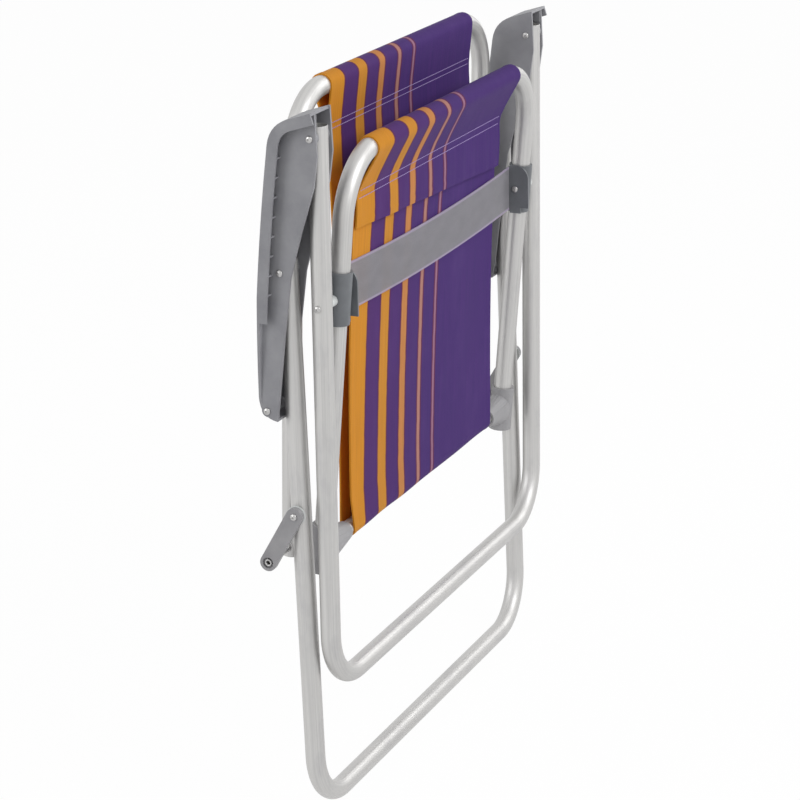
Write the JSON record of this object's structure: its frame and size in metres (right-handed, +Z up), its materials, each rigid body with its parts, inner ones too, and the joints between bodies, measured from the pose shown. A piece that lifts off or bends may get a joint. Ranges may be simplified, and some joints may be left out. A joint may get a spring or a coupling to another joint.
{
  "type": "folding garden armchair",
  "caption": "Folding tube-frame garden armchair with a striped cloth sling seat and back, moulded armrests and crossed leg frames, stored folded flat.",
  "frame": {"origin": "under the middle of the folded chair, on the floor that its rear floor bar stands on", "axes": "+X to the sitter's right, +Y to the rear, +Z up along the folded frames"},
  "size_m": [0.66, 0.1006, 0.8151],
  "materials": {
    "tube": "satin anodised",
    "rivet": "satin",
    "arm_plastic": "fine matte",
    "joint_plastic": "fine matte",
    "clip_plastic": "fine matte",
    "spacer_plastic": "smooth",
    "sling_cloth": "woven, striped",
    "strap_cloth": "open weave"
  },
  "bodies": {
    "front_legs": {"front_leg_frame": "tube", "seat_rivet_right": "rivet", "seat_rivet_left": "rivet", "seat_spacer_right": "spacer_plastic", "seat_spacer_left": "spacer_plastic"},
    "armrests": {"armrest_right": "arm_plastic", "armrest_left": "arm_plastic", "arm_front_rivet_right": "rivet", "arm_front_rivet_left": "rivet", "arm_leg_rivet_right": "rivet", "arm_leg_rivet_left": "rivet", "arm_back_rivet_right": "rivet", "arm_back_rivet_left": "rivet"},
    "rear_legs": {"rear_leg_frame": "tube", "link_washer_right": "spacer_plastic", "link_washer_left": "spacer_plastic", "link_rivet_right": "rivet", "link_rivet_left": "rivet"},
    "links": {"link_right": "joint_plastic", "link_left": "joint_plastic", "link_pin_end_right": "rivet", "link_pin_end_left": "rivet"},
    "seat": {"seat_frame": "tube", "cross_tube": "tube", "bracket_right": "joint_plastic", "bracket_left": "joint_plastic", "hinge_pin_right": "rivet", "hinge_pin_left": "rivet", "strap_clip_right": "clip_plastic", "strap_clip_left": "clip_plastic", "seat_strap": "strap_cloth", "seat_sling": "sling_cloth"},
    "back": {"back_frame": "tube", "back_spacer_right": "spacer_plastic", "back_spacer_left": "spacer_plastic", "back_spacer_rivet_right": "rivet", "back_spacer_rivet_left": "rivet", "back_sling": "sling_cloth"}
  },
  "joints": [
    {"name": "arm_fold", "type": "hinge", "parent": "front_legs", "child": "armrests", "pos_m": [0, -0.02436, 0.7751], "axis": [1, 0, 0], "range_deg": [0, 91.68]},
    {"name": "seat_fold", "type": "hinge", "parent": "front_legs", "child": "seat", "pos_m": [0, -0.02436, 0.5931], "axis": [1, 0, 0], "range_deg": [-0.5, 92.98]},
    {"name": "rear_leg_fold", "type": "hinge", "parent": "armrests", "child": "rear_legs", "pos_m": [0, 0.01414, 0.6306], "axis": [1, 0, 0], "range_deg": [-51.18, 0.5]},
    {"name": "back_fold", "type": "hinge", "parent": "seat", "child": "back", "pos_m": [0, 0.03914, 0.3047], "axis": [1, 0, 0], "range_deg": [-98.18, 0.5]},
    {"name": "link_swing", "type": "hinge", "parent": "rear_legs", "child": "links", "pos_m": [0, 0.00654, 0.3617], "axis": [1, 0, 0], "range_deg": [-0.5, 135.57]}
  ],
  "couplings": [
    {"joint": "seat_fold", "follows": "arm_fold", "ratio": 1.0087},
    {"joint": "rear_leg_fold", "follows": "arm_fold", "ratio": -0.55273},
    {"joint": "back_fold", "follows": "arm_fold", "ratio": -1.0654},
    {"joint": "link_swing", "follows": "arm_fold", "ratio": 1.4733}
  ]
}
